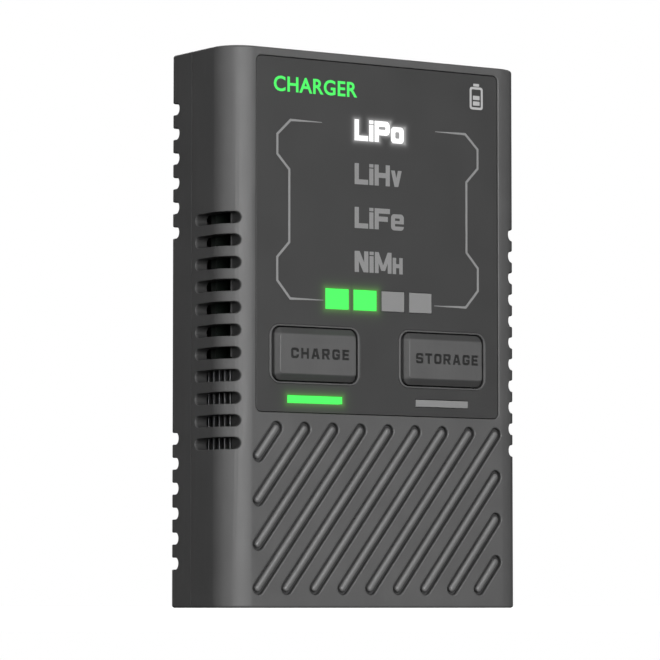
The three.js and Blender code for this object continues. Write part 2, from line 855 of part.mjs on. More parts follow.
levels.x.forEach((atX, i) => {
  const window = prism(levelOutline(atX, 0), "y", panelFace, panelBack);
  add(`level_window_${i + 1}`, window, i < 2 ? litGreen : unlitGrey);
  add(`level_led_${i + 1}`, indicator(atX, levels.z), ledWhite);
});
for (let i = 0; i < modes.count; i++)
  add(`mode_led_${i + 1}`, indicator(0, modes.top - i * modes.pitch), ledWhite);
const sheetFront = panelBack + 2 * seat;
add(
  "legend_diffuser",
  prism(diffuserOutline(0), "y", sheetFront, sheetFront + diffuser.thickness),
  milkWhite,
);

add("main_board", mainBoard(), boardGreen);
add("heat_sink", comb(), aluminium);
capacitors.low.forEach((low, i) => add(`capacitor_${i + 1}`, capacitor(low), sleeveBlack));
add("power_inductor", coilBlock(), ferrite);
for (const [name, place] of Object.entries(chips)) add(`${name}_chip`, chip(place), chipBlack);

add("power_socket_housing", powerHousing(), socketYellow);
contactsX.forEach((atX, i) => add(`power_contact_${i + 1}`, powerContact(atX), gold));
for (const place of balancePlaces) {
  add(`${place.name}_socket`, balanceHousing(place), socketWhite);
  pinsOf(place).forEach((atX, i) => add(`${place.name}_pin_${i + 1}`, balancePin(atX), steel));
}
add("usb_socket_shell", usbShell(), steel);
add("usb_socket_tongue", usbTongue(), chipBlack);

screws.places.forEach(([atX, atZ], i) => add(`case_screw_${i + 1}`, screw(atX, atZ), steel));
add("lower_rubber_strip", rubberStrip(strips.z[0]), rubber);
add("upper_rubber_strip", rubberStrip(strips.z[1]), rubber);

export default charger;
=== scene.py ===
from contextlib import contextmanager
import math

import bmesh
import bpy
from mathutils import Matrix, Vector


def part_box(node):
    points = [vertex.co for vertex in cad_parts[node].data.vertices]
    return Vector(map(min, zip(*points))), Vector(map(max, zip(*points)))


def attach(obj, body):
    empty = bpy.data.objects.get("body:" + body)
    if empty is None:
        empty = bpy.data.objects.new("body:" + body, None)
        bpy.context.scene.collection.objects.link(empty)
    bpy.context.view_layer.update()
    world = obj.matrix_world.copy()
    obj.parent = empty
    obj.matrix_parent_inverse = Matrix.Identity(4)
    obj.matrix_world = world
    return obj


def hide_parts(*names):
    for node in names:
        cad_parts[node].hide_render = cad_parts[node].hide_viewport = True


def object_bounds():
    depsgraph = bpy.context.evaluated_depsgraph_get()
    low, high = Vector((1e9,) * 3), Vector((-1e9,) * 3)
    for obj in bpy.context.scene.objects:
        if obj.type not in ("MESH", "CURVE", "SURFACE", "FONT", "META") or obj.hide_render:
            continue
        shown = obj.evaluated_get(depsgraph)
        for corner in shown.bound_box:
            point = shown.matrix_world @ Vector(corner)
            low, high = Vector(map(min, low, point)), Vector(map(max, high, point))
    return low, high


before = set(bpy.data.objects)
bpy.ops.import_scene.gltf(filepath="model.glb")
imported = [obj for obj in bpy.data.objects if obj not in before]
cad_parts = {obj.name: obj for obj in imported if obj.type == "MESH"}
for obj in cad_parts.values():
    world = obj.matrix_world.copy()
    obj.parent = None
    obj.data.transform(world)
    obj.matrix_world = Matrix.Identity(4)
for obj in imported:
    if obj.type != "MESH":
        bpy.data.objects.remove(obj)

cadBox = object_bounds()
mm = 0.001  # pieces are shaped in millimetres and brought to metres when they are done
past = 1.0  # how far a tool runs past what it cuts
overlap = 0.1  # how far joined solids run into each other
bite = 0.05  # the same, where there is less room
weld = dict(cut=1e-5, solid=1e-4, frameNode=1e-3)  # corners nearer than this are one


def nodeBox(node):  # a frame node's corners, in millimetres
    low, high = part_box(node)
    return low / mm, high / mm


camera = dict(
    sensor=36, lens=213.27, at=(-389.76, -581.54, 0.254), yaw=33.5427, pitch=4.045,
    clip=(0.05, 30),
)


def placed(name, data):
    made = bpy.data.objects.new(name, data)
    bpy.context.scene.collection.objects.link(made)
    return made


def addCamera():
    data = bpy.data.cameras.new("camera")
    data.sensor_width = camera["sensor"]
    data.lens = camera["lens"]
    data.clip_start, data.clip_end = camera["clip"]
    viewer = placed("camera", data)
    viewer.location = Vector(camera["at"]) * mm
    viewer.rotation_euler = (math.radians(90 + camera["pitch"]), 0, -math.radians(camera["yaw"]))
    bpy.context.scene.camera = viewer


addCamera()
print("camera placed")


def roundSpot(cx, cy, radius, angle):
    return (cx + radius * math.cos(angle), cy + radius * math.sin(angle))


def quarter(cx, cy, radius, turn, steps):  # an arc of 90 degrees that starts at turn quarter turns
    angles = [math.pi / 2 * (turn + i / steps) for i in range(steps + 1)]
    return [roundSpot(cx, cy, radius, angle) for angle in angles]


def roundedRect(cx, cy, width, height, radius, steps=6):
    dx = width / 2 - radius
    dy = height / 2 - radius
    corners = ((dx, -dy, -1), (dx, dy, 0), (-dx, dy, 1), (-dx, -dy, 2))
    if not radius:
        return [(cx + x, cy + y) for x, y, turn in corners]
    return [p for x, y, turn in corners for p in quarter(cx + x, cy + y, radius, turn, steps)]


def circle(cx, cy, radius, steps=32):
    return [roundSpot(cx, cy, radius, 2 * math.pi * i / steps) for i in range(steps)]


def slotOutline(a, b, radius, steps=6):  # a slot with round ends between two points
    turn = math.atan2(b[1] - a[1], b[0] - a[0]) / (math.pi / 2)
    return (
        quarter(*b, radius, turn - 1, steps)
        + quarter(*b, radius, turn, steps)[1:]
        + quarter(*a, radius, turn + 1, steps)
        + quarter(*a, radius, turn + 2, steps)[1:]
    )


@contextmanager
def editing(mesh):  # gives the mesh's working form, and writes it back at the end
    form = bmesh.new()
    form.from_mesh(mesh)
    yield form
    form.to_mesh(mesh)
    form.free()


def meshPiece(name, verts, faces):
    mesh = bpy.data.meshes.new(name)
    mesh.from_pydata(verts, [], faces)
    with editing(mesh) as form:
        bmesh.ops.recalc_face_normals(form, faces=form.faces)
    return placed(name, mesh)


def stack(name, rings):  # a closed solid through rings of points, its two ends flat
    count = len(rings[0])
    verts = [p for ring in rings for p in ring]
    faces = []
    for level in range(len(rings) - 1):
        for i in range(count):
            j = (i + 1) % count
            low, high = level * count, (level + 1) * count
            faces.append((low + i, low + j, high + j, high + i))
    faces.append(tuple(range(count - 1, -1, -1)))
    faces.append(tuple(range((len(rings) - 1) * count, len(rings) * count)))
    return meshPiece(name, verts, faces)


place = {
    "x": lambda outline, level: [(level, a, b) for a, b in outline],
    "y": lambda outline, level: [(a, level, b) for a, b in outline],
    "z": lambda outline, level: [(a, b, level) for a, b in outline],
}


def prism(outline, axis, low, high, name="tool"):
    return stack(name, [place[axis](outline, low), place[axis](outline, high)])


def block(x, y, z, name="tool"):
    return prism([(x[0], y[0]), (x[1], y[0]), (x[1], y[1]), (x[0], y[1])], "z", *z, name)


# A block between two corners, larger by some amount on both sides of each axis.
def grownBlock(low, high, by=(0, 0, 0), name="tool"):
    return block(*((low[i] - by[i], high[i] + by[i]) for i in range(3)), name)


def joined(pieces, name="tool"):  # several separate solids as one mesh
    form = bmesh.new()
    for piece in pieces:
        form.from_mesh(piece.data)
    mesh = bpy.data.meshes.new(name)
    form.to_mesh(mesh)
    form.free()
    for piece in pieces:
        discard(piece)
    return placed(name, mesh)


def divide(piece, xs, zs):  # splits the piece's faces along upright and level planes
    planes = [((x, 0, 0), (1, 0, 0)) for x in xs] + [((0, 0, z), (0, 0, 1)) for z in zs]
    with editing(piece.data) as form:
        for spot, way in planes:
            parts = form.verts[:] + form.edges[:] + form.faces[:]
            bmesh.ops.bisect_plane(
                form, geom=parts, dist=weld["cut"], plane_co=spot, plane_no=way
            )


def discard(piece):
    mesh = piece.data
    bpy.data.objects.remove(piece)
    bpy.data.meshes.remove(mesh)


def settle(piece):  # applies the piece's modifiers
    bpy.context.view_layer.update()
    graph = bpy.context.evaluated_depsgraph_get()
    made = bpy.data.meshes.new_from_object(
        piece.evaluated_get(graph), preserve_all_data_layers=True, depsgraph=graph
    )
    before = piece.data
    piece.modifiers.clear()
    piece.data = made
    bpy.data.meshes.remove(before)


def work(piece, tool, operation):
    change = piece.modifiers.new("work", "BOOLEAN")
    change.operation = operation
    change.object = tool
    change.solver = "EXACT"
    settle(piece)
    discard(tool)


def cut(piece, *tools):
    for tool in tools:
        work(piece, tool, "DIFFERENCE")


def add(piece, *tools):
    for tool in tools:
        work(piece, tool, "UNION")


# Rounds the edges that are sharper than the angle, each by the share of the width that its two
# ends allow, then shades the piece.
def soften(piece, width, share=None, segments=3, angle=30, edgeFinish=True, merge=True):
    with editing(piece.data) as form:
        bmesh.ops.remove_doubles(form, verts=form.verts, dist=weld["solid"])
        if merge:  # flat neighbours become one face
            limit = math.radians(0.2)
            bmesh.ops.dissolve_limit(form, angle_limit=limit, verts=form.verts, edges=form.edges)
        weight = form.edges.layers.float.new("bevel_weight_edge")
        for edge in form.edges:
            if len(edge.link_faces) != 2 or edge.calc_face_angle(0) < math.radians(angle):
                continue
            edge[weight] = 1.0 if share is None else min(float(share(v.co)) for v in edge.verts)
    bevel = piece.modifiers.new("rounding", "BEVEL")
    bevel.limit_method = "WEIGHT"
    bevel.width = width
    bevel.segments = segments
    bevel.use_clamp_overlap = False
    bevel.loop_slide = True
    bevel.miter_outer = "MITER_ARC"
    if edgeFinish:
        bevel.material = 1
    settle(piece)
    shade(piece)


def shade(piece, angle=35):
    piece.data.shade_smooth()
    piece.data.set_sharp_from_angle(angle=math.radians(angle))
    balance = piece.modifiers.new("balance", "WEIGHTED_NORMAL")
    balance.keep_sharp = True
    balance.weight = 60
    settle(piece)


# Brings a shaped piece to metres, gives it its finish, and sets it in the frame.
def fit(piece, finishes, replaces=(), body="casing"):
    for corner in piece.data.vertices:
        corner.co *= mm
    slots = piece.data.materials
    while len(slots) < len(finishes):
        slots.append(None)
    while len(slots) > len(finishes):
        slots.pop()
    for i, finish in enumerate(finishes):
        slots[i] = finish
    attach(piece, body)
    if replaces:
        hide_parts(*replaces)
    return piece


shellFront = nodeBox("front_shell")
shellRear = nodeBox("rear_shell")
casing = dict(
    half=shellFront[1].x, front=shellFront[0].y, back=shellRear[1].y, height=shellFront[1].z,
    seam=shellFront[1].y, seamGap=0.25,
    frontRadius=5.3, backRadius=1.0, leastRadius=0.4, cornerSteps=12, backSteps=6,
    endRound=0.45, endSteps=5,
    sideWall=2.4, frontWall=2.4, backWall=2.0, endWall=2.2,
    edge=0.32,  # rounding of the edges of cuts
)


class Nodes:  # a small hand for laying out a material's nodes
    def __init__(self, name):
        self.material = bpy.data.materials.new(name)
        self.material.use_nodes = True
        self.tree = self.material.node_tree
        self.shader = self.tree.nodes["Principled BSDF"]
        self.spot = self.add("ShaderNodeTexCoord").outputs["Object"]

    def add(self, kind, inputs=None, **settings):
        node = self.tree.nodes.new(kind)
        for name, value in settings.items():
            setattr(node, name, value)
        for name, value in (inputs or {}).items():
            self.feed(node.inputs[name], value)
        return node

    def feed(self, socket, value):
        if isinstance(value, bpy.types.NodeSocket):
            self.tree.links.new(value, socket)
        else:
            socket.default_value = value

    def noise(self, size, detail=2.0, roughness=0.5, spot=None):  # size is a blotch's width in mm
        inputs = {"Vector": spot or self.spot, "Scale": 1 / (size * mm)}
        inputs.update({"Detail": detail, "Roughness": roughness})
        return self.add("ShaderNodeTexNoise", inputs).outputs["Fac"]

    def between(self, source, low, high, fromLow=0.3, fromHigh=0.7):
        inputs = {"Value": source, "From Min": fromLow, "From Max": fromHigh}
        inputs.update({"To Min": low, "To Max": high})
        return self.add("ShaderNodeMapRange", inputs).outputs["Result"]

    def math(self, operation, a, b=0.0, c=0.0):
        return self.add("ShaderNodeMath", {0: a, 1: b, 2: c}, operation=operation).outputs[0]

    def mix(self, amount, a, b, way="MIX"):
        inputs = {"Factor": amount, 6: a, 7: b}
        return self.add("ShaderNodeMix", inputs, data_type="RGBA", blend_type=way).outputs[2]

    def bump(self, height, depth, strength=1.0, before=None):  # depth in mm
        inputs = {"Height": height, "Distance": depth * mm, "Strength": strength}
        if before:
            inputs["Normal"] = before
        return self.add("ShaderNodeBump", inputs).outputs["Normal"]

    def set(self, **inputs):
        for name, value in inputs.items():
            self.feed(self.shader.inputs[name.replace("_", " ")], value)
        return self.material


def grey(level, warmth=0.0):  # a near-neutral colour from a screen grey level, 0 to 255
    linear = (level / 255) ** 2.2
    return (linear * (1 + warmth), linear, linear * (1 - warmth), 1)


def shadeOf(colour, by):
    return tuple(c * by for c in colour[:3]) + (1,)


# How far a spot lies under the casing's outer surface, in metres, from its place alone.
def depthUnder(n):
    axes = n.add("ShaderNodeSeparateXYZ", {"Vector": n.spot}).outputs
    ahead = n.math("LESS_THAN", axes["Y"], 0.0)
    spread = (casing["frontRadius"] - casing["backRadius"]) * mm
    radius = n.math("MULTIPLY_ADD", ahead, spread, casing["backRadius"] * mm)
    sides = []
    for axis, reach in (("X", casing["half"]), ("Y", casing["back"])):
        away = n.math("SUBTRACT", n.math("ABSOLUTE", axes[axis]), reach * mm)
        sides.append(n.math("ADD", away, radius))
    flat = n.math("MINIMUM", n.math("MAXIMUM", *sides), 0.0)
    beside, beyond = (n.math("MAXIMUM", away, 0.0) for away in sides)
    square = n.math("MULTIPLY_ADD", beside, beside, n.math("MULTIPLY", beyond, beyond))
    return n.math("SUBTRACT", radius, n.math("ADD", n.math("SQRT", square), flat))


# the recess keys set the painted shade: spots between two depths under the surface darken to a
# share of the colour
mould = dict(  # lengths in mm, shades as shares of the colour
    cloud=7, streak=1.3, stretch=0.12, rubFrom=0.52, rubTo=0.72, rubShade=1.6,
    shadeFrom=0.05, shadeTo=0.6, shadeShare=0.1, glossSwing=0.04,
)


# Moulded plastic: a spark-eroded grain, soft mottling and faint rub marks, with painted shade that
# darkens deep places or where a function of the nodes says.
def mouldedPlastic(
    name, colour, roughness, grain=0.16, grainDepth=0.012, mottling=0.05, rub=0.05, recessShade=0.0,
    shadeMask=None,
):
    n = Nodes(name)
    cloud = n.noise(mould["cloud"], 3)
    fine = n.noise(grain, 2, 0.6)
    drawn = n.add("ShaderNodeMapping", {"Vector": n.spot, "Scale": (1, 1, mould["stretch"])})
    streaks = n.noise(mould["streak"], 4, 0.6, drawn.outputs[0])
    rubbed = n.between(streaks, 0, 1, mould["rubFrom"], mould["rubTo"])
    tone = n.mix(
        n.between(cloud, 0, 1), shadeOf(colour, 1 - mottling), shadeOf(colour, 1 + mottling)
    )
    tone = n.mix(n.math("MULTIPLY", rubbed, rub), tone, shadeOf(colour, mould["rubShade"]))
    shadedTone = shadeOf(colour, mould["shadeShare"])
    # painted shade: the deeper a spot lies under the casing's outer surface, the darker it is
    if recessShade:
        least, most = mould["shadeFrom"] * mm, mould["shadeTo"] * mm
        tone = n.mix(n.between(depthUnder(n), 0, recessShade, least, most), tone, shadedTone)
    # painted shade wherever the given function says
    if shadeMask:
        tone = n.mix(shadeMask(n), tone, shadedTone)
    swing = mould["glossSwing"]
    gloss = n.math("ADD", n.between(cloud, roughness - swing, roughness + swing),
                   n.math("MULTIPLY", rubbed, -rub))
    dents = n.bump(n.noise(grain * 4, 2), grainDepth * 0.7, 0.6)
    return n.set(
        Base_Color=tone, Roughness=gloss, Normal=n.bump(fine, grainDepth, 0.7, dents)
    )


# the casing darkens with painted shade in its recesses
casingFinish = dict(colour=grey(98), roughness=0.5, recessShade=0.65)
casingPlastic = mouldedPlastic("casing plastic", **casingFinish)
# rounded edges a little lighter than the casing, a painted sheen, with stronger rub marks from
# wear
edgeSheenAndWear = mouldedPlastic(
    "casing edge sheen and wear", shadeOf(casingFinish["colour"], 1.04), 0.44, rub=0.12, recessShade=0.65
)
# the bead crests are a lighter grey than the casing: a painted highlight
crestHighlight = mouldedPlastic("ridge crest highlight", grey(122), 0.33, grainDepth=0.005, rub=0.1, recessShade=0.65)
print("plastics mixed")

frontInside = casing["front"] + casing["frontWall"]
outFront, outBack = casing["front"] - past, casing["back"] + past
outSide, outTop = casing["half"] + past, casing["height"] + past


def casingOutline(inset, frontInset=None, backInset=None):
    side = casing["half"] - inset
    ahead = casing["front"] + (inset if frontInset is None else frontInset)
    behind = casing["back"] - (inset if backInset is None else backInset)
    big = casing["frontRadius"] - inset
    small = max(casing["backRadius"] - inset, casing["leastRadius"])
    steps, backSteps = casing["cornerSteps"], casing["backSteps"]
    return (
        quarter(side - big, ahead + big, big, -1, steps)
        + quarter(side - small, behind - small, small, 0, backSteps)
        + quarter(-side + small, behind - small, small, 1, backSteps)
        + quarter(-side + big, ahead + big, big, 2, steps)
    )


def casingBlock(name):
    radius, steps = casing["endRound"], casing["endSteps"]
    turns = [math.pi / 2 * i / steps for i in range(steps + 1)]
    insets = [(radius * (1 - math.cos(t)), radius * (1 - math.sin(t))) for t in turns]
    rings = [place["z"](casingOutline(inset), level) for inset, level in reversed(insets)]
    rings += [
        place["z"](casingOutline(inset), casing["height"] - level) for inset, level in insets
    ]
    return stack(name, rings)


def casingCavity():
    outline = casingOutline(casing["sideWall"], casing["frontWall"], casing["backWall"])
    return prism(outline, "z", casing["endWall"], casing["height"] - casing["endWall"])


# How far a point lies under the casing's outer surface.
def depthAt(point):
    radius = casing["frontRadius"] if point.y < 0 else casing["backRadius"]
    ahead = point.y - casing["front"] if point.y < 0 else casing["back"] - point.y
    side = casing["half"] - abs(point.x)
    if side < radius and ahead < radius:
        edge = radius - math.hypot(radius - side, radius - ahead)
    else:
        edge = min(side, ahead)
    return min(edge, point.z, casing["height"] - point.z)


rounding = dict(  # shares of the casing's edge width
    skin=0.16,  # edges deeper than this stay sharp
    seam=0.12,
    seamAhead=-2.2,  # the side slots' rear ends lie behind this
    seamBehind=0.1,
    groove=0.75,
    grooveMargin=1.5,
    ring=0.35,
    other=0.6,
    level=0.02,  # how near to a level still counts as on it
)


# The grooves have rounder edges than the rest. The button rings are sharper, and the seam and the
# rear ends of the side slots hardly rounded.
def roundingAt(point):
    if depthAt(point) > rounding["skin"]:
        return 0
    seamEnd = casing["seam"] + casing["seamGap"] + rounding["seamBehind"]
    if rounding["seamAhead"] < point.y < seamEnd:
        nearEnd = min(point.z, casing["height"] - point.z) < casing["endRound"]
        return 0 if nearEnd else rounding["seam"]
    margin = rounding["grooveMargin"]
    beside, above = grooves["right"] + margin, grooves["high"] + margin
    if point.y < 0 and abs(point.x) < beside and point.z < above:
        return rounding["groove"]
    onRing = abs(point.y - panelFace + buttons["ringProud"]) < rounding["level"]
    return rounding["ring" if onRing else "other"]


# A block between two levels of Y, with the casing's width and height less an inset all round.
def insetBlock(inset, y, name="tool"):
    half = casing["half"] - inset
    return block((-half, half), y, (inset, casing["height"] - inset), name)


sideVents = dict(
    count=11, lowest=28.5, pitch=3.93, width=2.06, reach=3.0, floor=1.4, lip=2.0, through=2.45
)
rearVents = dict(count=6, lowest=(7.8, 66.3), pitch=4.4, width=2.06, depth=2.65, innerEnd=22.5)
innerRib = dict(x=(27.5, 28.97), y=(-6.04, -5.89), z=(43.6, 72.0))
baffles = dict(x=(21.4, 29.4), y=(5.5, 6.3), z=((4.0, 33.5), (62.5, 92.0)))


# A slot round at both ends: its front end is cut from the front, its rear end from the side.
def sideVentTools():
    fromFront, deeper, fromSide = [], [], []
    radius = sideVents["width"] / 2
    end = casing["half"] - sideVents["reach"]
    lip = casing["front"] + sideVents["lip"]
    rear = sideVents["floor"] - radius
    for i in range(sideVents["count"]):
        z = sideVents["lowest"] + i * sideVents["pitch"]
        for side in (-1, 1):
            ends = sorted([(side * outSide, z), (side * (end + radius), z)])
            fromFront.append(prism(slotOutline(*ends, radius), "y", outFront, lip))
            across = sorted((side * outSide, side * end))
            deeper.append(block(across, (lip - overlap, rear), (z - radius, z + radius)))
            turn = slotOutline((casing["front"] / 2, z), (rear, z), radius)
            reach = sorted((side * outSide, side * (casing["half"] - sideVents["through"])))
            fromSide.append(prism(turn, "x", *reach))
    return [joined(tools) for tools in (fromFront, deeper, fromSide)]


def mirroredBlocks(x, y, z):
    return [block(sorted((side * x[0], side * x[1])), y, z) for side in (-1, 1)]


# Two sets of tools: one gives the slots their round ends on the back, the other at the sides.
def rearVentTools():
    radius = rearVents["width"] / 2
    inner = rearVents["innerEnd"] + radius
    floor = casing["back"] - rearVents["depth"]
    fromBack, fromSide = [], []
    levels = [
        low + i * rearVents["pitch"]
        for low in rearVents["lowest"]
        for i in range(rearVents["count"])
    ]
    for z in levels:
        across = slotOutline((floor + radius, z), (outBack, z), radius)
        for side in (-1, 1):
            ends = sorted([(side * outSide, z), (side * inner, z)])
            along = slotOutline(*ends, radius)
            fromBack.append(prism(along, "y", floor + radius, outBack))
            fromSide.append(prism(across, "x", *sorted((side * outSide, side * inner))))
    return joined(fromBack), joined(fromSide)


socketGap, powerCorner = 0.1, 1.4
balanceSockets = ("balance_2s_socket", "balance_3s_socket", "balance_4s_socket")


def powerOutline(grow):  # two corners are cut, so that a plug goes in one way only
    low, high = nodeBox("power_socket_housing")
    left, right = low.x - grow, high.x + grow
    ahead, behind = low.y - grow, high.y + grow
    return [
        (left, ahead), (right - powerCorner, ahead), (right, ahead + powerCorner),
        (right, behind - powerCorner), (right - powerCorner, behind), (left, behind),
    ]


def usbOutline(grow, steps=10):
    low, high = nodeBox("usb_socket_shell")
    radius = (high.y - low.y) / 2
    level = (high.y + low.y) / 2
    ends = ((low.x + radius, level), (high.x - radius, level))
    return slotOutline(*ends, radius + grow, steps)


def endOpeningTool():
    above = (casing["height"] - casing["endWall"] - past, outTop)
    tools = [prism(powerOutline(socketGap), "z", *above)]
    for node in balanceSockets:
        low, high = nodeBox(node)
        across, through = ((low[i] - socketGap, high[i] + socketGap) for i in (0, 1))
        tools.append(block(across, through, above))
    tools.append(prism(usbOutline(2 * socketGap), "z", -past, casing["endWall"] + past))
    return joined(tools)


panelBox = nodeBox("control_panel")
panel = dict(gap=0.1, ringGap=0.02, radius=1.0, seat=0.05, edge=0.1)
panelFace, panelBack = panelBox[0].y, panelBox[1].y
panelMiddle = (panelBox[0] + panelBox[1]) / 2
panelSize = panelBox[1] - panelBox[0]

buttonNames = {"charge": -1, "storage": 1}  # and the side that each is on
statusWindows = [f"{name}_status_window" for name in buttonNames]
buttons = dict(  # an outline's width, height and corner radius
    x=13.67, z=44.27, base=(17.0, 9.3, 1.3), face=(15.8, 6.9, 0.45), hole=(18.1, 9.75, 1.65),
    ring=(19.0, 10.35, 2.1), flange=(19.6, 11.4, 1.3), ringProud=0.13, edge=0.11,
    flangeThick=0.8, postRadius=1.6, steps=8,
)
grooves = dict(
    count=12, pitch=5.88, slope=1.304, firstTop=-21.7, left=-25.4, right=25.35, low=3.45,
    high=31.25, width=2.36, depth=0.9, beadWidth=1.24, beadCrown=0.5, beadSteps=8,
)


def buttonOutline(side, part, grow=0.0):
    width, height, radius = buttons[part]
    size = (width + 2 * grow, height + 2 * grow, radius + grow)
    return roundedRect(side * buttons["x"], buttons["z"], *size, buttons["steps"])


def grooveLines():
    run = (grooves["high"] - grooves["low"]) / grooves["slope"]
    lines = []
    for i in range(grooves["count"]):
        top = grooves["firstTop"] + i * grooves["pitch"]
        ends = (max(top - run, grooves["left"]), min(top, grooves["right"]))
        lines.append([(x, grooves["high"] - (top - x) * grooves["slope"]) for x in ends])
    return lines


def grooveTool():
    floor = casing["front"] + grooves["depth"]
    radius = grooves["width"] / 2
    return joined(
        [prism(slotOutline(*line, radius), "y", outFront, floor) for line in grooveLines()]
    )


def beads():  # a ridge with a rounded crown and round ends in each groove
    floor = casing["front"] + grooves["depth"]
    radius, crown, steps = grooves["beadWidth"] / 2, grooves["beadCrown"], grooves["beadSteps"]
    top = casing["front"]
    profile = [(radius, floor + overlap)]
    for i in range(steps):
        turn = math.pi / 2 * i / steps
        profile.append((radius * math.cos(turn), top + crown * (1 - math.sin(turn))))
    last = math.pi / 2 * (steps - 0.5) / steps
    profile.append((radius * math.cos(last), top))
    made = []
    for line in grooveLines():
        rings = [place["y"](slotOutline(*line, wide), level) for wide, level in profile]
        made.append(stack("bead", rings))
    ridges = joined(made)
    for polygon in ridges.data.polygons:
        polygon.material_index = 2  # the crest's finish
    return ridges


def windowTool(node, gap):
    return grownBlock(*nodeBox(node), (gap, past, gap))


frontFinishes = [casingPlastic, edgeSheenAndWear, crestHighlight]
shellLip = dict(edge=1.15, depth=0.5)  # the step that takes the rear shell's tongue
windowGaps = dict(shell=0.1, status=0.08, level=0.05)


def buildFrontShell():
    shell = casingBlock("frontShell")
    cut(shell, casingCavity(), insetBlock(-past, (casing["seam"], outBack)))
    step = (casing["seam"] - shellLip["depth"], casing["seam"] + past)
    cut(shell, insetBlock(shellLip["edge"], step))
    pocket = roundedRect(
        0, panelMiddle.z, panelSize.x + 2 * panel["gap"], panelSize.z + 2 * panel["gap"],
        panel["radius"] + panel["gap"],
    )
    pocketFloor = panelBack + panel["seat"]
    cut(shell, prism(pocket, "y", outFront, pocketFloor))
    for side in buttonNames.values():
        ring, hole = buttonOutline(side, "ring"), buttonOutline(side, "hole")
        add(shell, prism(ring, "y", panelFace - buttons["ringProud"], pocketFloor + bite))
        cut(shell, prism(hole, "y", outFront, frontInside + past))
    for node in statusWindows + ["legend_diffuser"]:
        cut(shell, windowTool(node, windowGaps["shell"]))
    cut(shell, grooveTool())
    for finish in frontFinishes:
        shell.data.materials.append(finish)
    add(shell, beads())
    cut(shell, *sideVentTools(), endOpeningTool())
    add(shell, joined(mirroredBlocks(**innerRib)))
    soften(shell, casing["edge"], roundingAt)
    return fit(shell, frontFinishes, ["front_shell"])


buildFrontShell()
print("front shell made")

labelRecess = dict(width=34.0, height=44.0, z=49.0, depth=0.3, radius=2.0)
screwHoles = dict(sink=1.5, sinkRadius=2.15, holeRadius=1.15)
screwNodes = [f"case_screw_{i}" for i in (1, 2, 3, 4)]
stripNodes = ("lower_rubber_strip", "upper_rubber_strip")
strips = dict(radius=1.2, gap=0.1, sunk=0.6)
tongue = dict(outer=1.25, inner=2.35, reach=0.6)  # it goes inside the front shell's lip


def screwPlaces():
    boxes = [nodeBox(node) for node in screwNodes]
    return [((low.x + high.x) / 2, (low.z + high.z) / 2) for low, high in boxes]


def buildRearShell():
    shell = casingBlock("rearShell")
    ahead = casing["seam"] + casing["seamGap"]
    cut(shell, casingCavity(), insetBlock(-past, (outFront, ahead)))
    reach = tongue["reach"]
    rim = insetBlock(tongue["outer"], (ahead - reach, ahead + bite), "tongue")
    cut(rim, insetBlock(tongue["inner"], (ahead - 2 * reach, ahead + reach)))
    add(shell, rim)
    for spot in screwPlaces():
        cut(shell, prism(circle(*spot, screwHoles["holeRadius"]), "y", 0, outBack))
        sink = circle(*spot, screwHoles["sinkRadius"])
        cut(shell, prism(sink, "y", casing["back"] - screwHoles["sink"], outBack))
    label = roundedRect(
        0, labelRecess["z"], labelRecess["width"], labelRecess["height"], labelRecess["radius"]
    )
    cut(shell, prism(label, "y", casing["back"] - labelRecess["depth"], outBack))
    for node in stripNodes:
        low, high = nodeBox(node)
        gap = 2 * strips["gap"]
        recess = roundedRect(
            0, (low.z + high.z) / 2, high.x - low.x + gap, high.z - low.z + gap,
            strips["radius"] + strips["gap"],
        )
        cut(shell, prism(recess, "y", casing["back"] - strips["sunk"], outBack))
    cut(shell, *rearVentTools(), endOpeningTool())
    walls = [mirroredBlocks(baffles["x"], baffles["y"], z) for z in baffles["z"]]
    add(shell, joined(walls[0] + walls[1]))
    soften(shell, casing["edge"], roundingAt)
    return fit(shell, [casingPlastic, edgeSheenAndWear], ["rear_shell"])


buildRearShell()
print("rear shell made")

windowNodes = [f"level_window_{i}" for i in (1, 2, 3, 4)]
litNodes = ("level_window_1", "level_window_2", "charge_status_window")
green = (0.080, 1.0, 0.127, 1)
panelLook = dict(
    colour=grey(69.5), cloud=9, shades=(0.97, 1.03), gloss=(0.46, 0.54), grain=0.12,
    grainDepth=0.006,
)


def outsideSpan(n, value, middle, half):  # how far a place lies outside a span, in metres
    away = n.math("ABSOLUTE", n.math("SUBTRACT", value, middle * mm))
    return n.math("MAXIMUM", n.math("SUBTRACT", away, half * mm), 0.0)


# A darker plate with a painted glow round each lit window and the lit name's strokes, where the
# lamps' light would creep out.
def panelPlastic(halos):
    n = Nodes("panel plastic")
    cloud = n.noise(panelLook["cloud"], 3)
    shades = [shadeOf(panelLook["colour"], by) for by in panelLook["shades"]]
    tone = n.mix(n.between(cloud, 0, 1), *shades)
    axes = n.add("ShaderNodeSeparateXYZ", {"Vector": n.spot}).outputs
    glow = None
    for x, z, halfWidth, halfHeight, tint, power, spread in halos:
        dx = outsideSpan(n, axes["X"], x, halfWidth)
        dz = outsideSpan(n, axes["Z"], z, halfHeight)
        square = n.math("ADD", n.math("MULTIPLY", dx, dx), n.math("MULTIPLY", dz, dz))
        fade = n.math("EXPONENT", n.math("MULTIPLY", n.math("SQRT", square), -1 / (spread * mm)))
        light = n.mix(fade, (0, 0, 0, 1), shadeOf(tint, power))
        glow = light if glow is None else n.mix(1.0, glow, light, "LIGHTEN")
    return n.set(
        Base_Color=tone,
        Roughness=n.between(cloud, *panelLook["gloss"]),
        Normal=n.bump(n.noise(panelLook["grain"], 2, 0.6), panelLook["grainDepth"], 0.6),
        Emission_Color=glow,
        Emission_Strength=1.0,
    )


